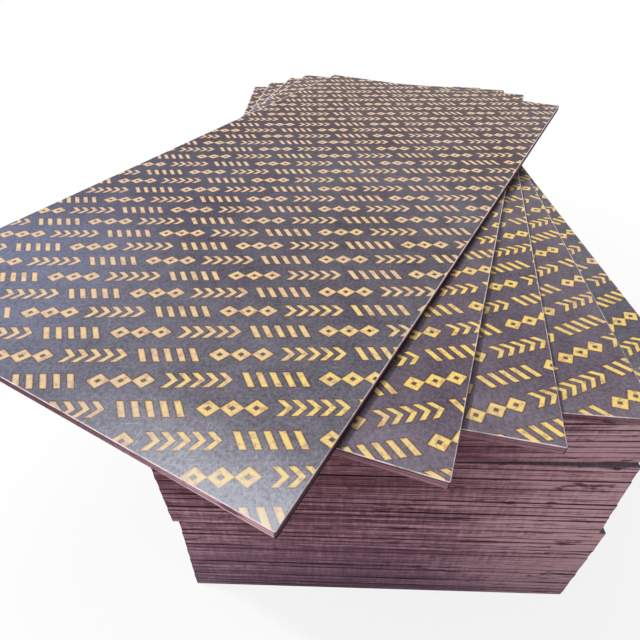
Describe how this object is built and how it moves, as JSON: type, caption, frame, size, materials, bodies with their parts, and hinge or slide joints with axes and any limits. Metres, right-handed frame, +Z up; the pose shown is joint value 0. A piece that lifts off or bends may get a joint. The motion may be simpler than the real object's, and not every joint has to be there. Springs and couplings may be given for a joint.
{
  "type": "stack of film-faced plywood sheets",
  "caption": "Floor-standing stack of dark film-faced formwork plywood sheets with painted edges, the top few sheets turned out like a fan.",
  "frame": {"origin": "centre of the bottom sheet's underside, where the stack stands on the floor", "axes": "+Z up, +Y along the sheets' long side, away from the short side that the fan opens over, +X to the right of someone facing that short side"},
  "size_m": [2.2176, 2.8308, 1.05],
  "materials": {
    "film_faced_plywood": "dark phenolic film on both faces with a satin sheen, reddish-brown sealing paint on the edges"
  },
  "bodies": {
    "root": {"lower_sheet_01": "film_faced_plywood", "lower_sheet_02": "film_faced_plywood", "lower_sheet_03": "film_faced_plywood", "lower_sheet_04": "film_faced_plywood", "lower_sheet_05": "film_faced_plywood", "lower_sheet_06": "film_faced_plywood", "lower_sheet_07": "film_faced_plywood", "lower_sheet_08": "film_faced_plywood", "lower_sheet_09": "film_faced_plywood", "lower_sheet_10": "film_faced_plywood", "lower_sheet_11": "film_faced_plywood", "lower_sheet_12": "film_faced_plywood", "lower_sheet_13": "film_faced_plywood", "lower_sheet_14": "film_faced_plywood", "lower_sheet_15": "film_faced_plywood", "lower_sheet_16": "film_faced_plywood", "lower_sheet_17": "film_faced_plywood", "lower_sheet_18": "film_faced_plywood", "lower_sheet_19": "film_faced_plywood", "middle_sheet_01": "film_faced_plywood", "middle_sheet_02": "film_faced_plywood", "middle_sheet_03": "film_faced_plywood", "middle_sheet_04": "film_faced_plywood", "middle_sheet_05": "film_faced_plywood", "middle_sheet_06": "film_faced_plywood", "middle_sheet_07": "film_faced_plywood", "middle_sheet_08": "film_faced_plywood", "middle_sheet_09": "film_faced_plywood", "middle_sheet_10": "film_faced_plywood", "middle_sheet_11": "film_faced_plywood", "middle_sheet_12": "film_faced_plywood", "middle_sheet_13": "film_faced_plywood", "middle_sheet_14": "film_faced_plywood", "middle_sheet_15": "film_faced_plywood", "top_sheet_01": "film_faced_plywood", "top_sheet_02": "film_faced_plywood", "top_sheet_03": "film_faced_plywood", "top_sheet_04": "film_faced_plywood", "top_sheet_05": "film_faced_plywood", "top_sheet_06": "film_faced_plywood", "top_sheet_07": "film_faced_plywood", "top_sheet_08": "film_faced_plywood", "top_sheet_09": "film_faced_plywood", "top_sheet_10": "film_faced_plywood", "top_sheet_11": "film_faced_plywood", "top_sheet_12": "film_faced_plywood", "fanned_sheet_1": "film_faced_plywood", "fanned_sheet_2": "film_faced_plywood", "fanned_sheet_3": "film_faced_plywood", "fanned_sheet_4": "film_faced_plywood"}
  },
  "joints": []
}
